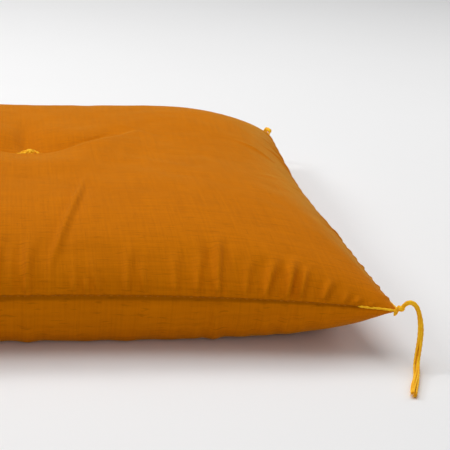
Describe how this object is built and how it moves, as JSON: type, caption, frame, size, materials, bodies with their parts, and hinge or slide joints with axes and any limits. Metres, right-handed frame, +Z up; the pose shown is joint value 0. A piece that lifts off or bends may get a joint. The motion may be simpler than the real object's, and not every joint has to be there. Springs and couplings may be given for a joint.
{
  "type": "floor cushion",
  "caption": "Square floor cushion with sewn edges, tied down in the middle, and a thread tassel at each corner.",
  "frame": {"origin": "on the floor, under the middle of the cushion", "axes": "+X along the wider side, +Y from the front seam to the back seam, +Z up"},
  "size_m": [0.681, 0.7148, 0.0993],
  "materials": {
    "cover_cloth": "matt slub-weave cotton, ochre",
    "batting": "unbleached cotton batting",
    "seam_thread": "matt sewing thread, brown ochre",
    "tie_thread_cotton": "soft twisted cotton yarn, golden yellow"
  },
  "bodies": {
    "cushion": {"batting_core_lower": "batting", "batting_core_middle": "batting", "batting_core_upper": "batting", "batting_wad_back_left": "batting", "batting_wad_back_right": "batting", "batting_wad_front_left": "batting", "batting_wad_front_right": "batting", "batting_wrap_bottom": "batting", "batting_wrap_top": "batting", "corner_thread_back_left": "tie_thread_cotton", "corner_thread_back_right": "tie_thread_cotton", "corner_thread_front_left": "tie_thread_cotton", "corner_thread_front_right": "tie_thread_cotton", "cover_bottom": "cover_cloth", "cover_top": "cover_cloth", "seam_back_closing": "seam_thread", "seam_front": "seam_thread", "seam_left": "seam_thread", "seam_right": "seam_thread", "tie_cross_bottom": "tie_thread_cotton", "tie_cross_top": "tie_thread_cotton", "tie_thread": "tie_thread_cotton"},
    "knot_front_right": {"knot_front_right": "tie_thread_cotton"},
    "tassel_front_right": {"tassel_front_right": "tie_thread_cotton"},
    "knot_back_right": {"knot_back_right": "tie_thread_cotton"},
    "tassel_back_right": {"tassel_back_right": "tie_thread_cotton"},
    "knot_front_left": {"knot_front_left": "tie_thread_cotton"},
    "tassel_front_left": {"tassel_front_left": "tie_thread_cotton"},
    "knot_back_left": {"knot_back_left": "tie_thread_cotton"},
    "tassel_back_left": {"tassel_back_left": "tie_thread_cotton"}
  },
  "joints": [
    {"name": "tassel_swing_front_right", "type": "hinge", "parent": "cushion", "child": "knot_front_right", "pos_m": [0.2974, -0.2774, 0.043], "axis": [0, 0, -1], "range_deg": [-90, 60]},
    {"name": "tassel_lift_front_right", "type": "hinge", "parent": "knot_front_right", "child": "tassel_front_right", "pos_m": [0.2974, -0.2774, 0.043], "axis": [-0.9923, 0.124, 0], "range_deg": [0, 100]},
    {"name": "tassel_swing_back_right", "type": "hinge", "parent": "cushion", "child": "knot_back_right", "pos_m": [0.2974, 0.2774, 0.043], "axis": [0, 0, 1], "range_deg": [-90, 55]},
    {"name": "tassel_lift_back_right", "type": "hinge", "parent": "knot_back_right", "child": "tassel_back_right", "pos_m": [0.2974, 0.2774, 0.043], "axis": [0.9333, 0.359, 0], "range_deg": [0, 100]},
    {"name": "tassel_swing_front_left", "type": "hinge", "parent": "cushion", "child": "knot_front_left", "pos_m": [-0.2974, -0.2774, 0.043], "axis": [0, 0, 1], "range_deg": [-40, 110]},
    {"name": "tassel_lift_front_left", "type": "hinge", "parent": "knot_front_left", "child": "tassel_front_left", "pos_m": [-0.2974, -0.2774, 0.043], "axis": [-0.6219, 0.7831, 0], "range_deg": [0, 100]},
    {"name": "tassel_swing_back_left", "type": "hinge", "parent": "cushion", "child": "knot_back_left", "pos_m": [-0.2974, 0.2774, 0.043], "axis": [0, 0, -1], "range_deg": [-60, 90]},
    {"name": "tassel_lift_back_left", "type": "hinge", "parent": "knot_back_left", "child": "tassel_back_left", "pos_m": [-0.2974, 0.2774, 0.043], "axis": [0.817, 0.5767, 0], "range_deg": [0, 100]}
  ]
}
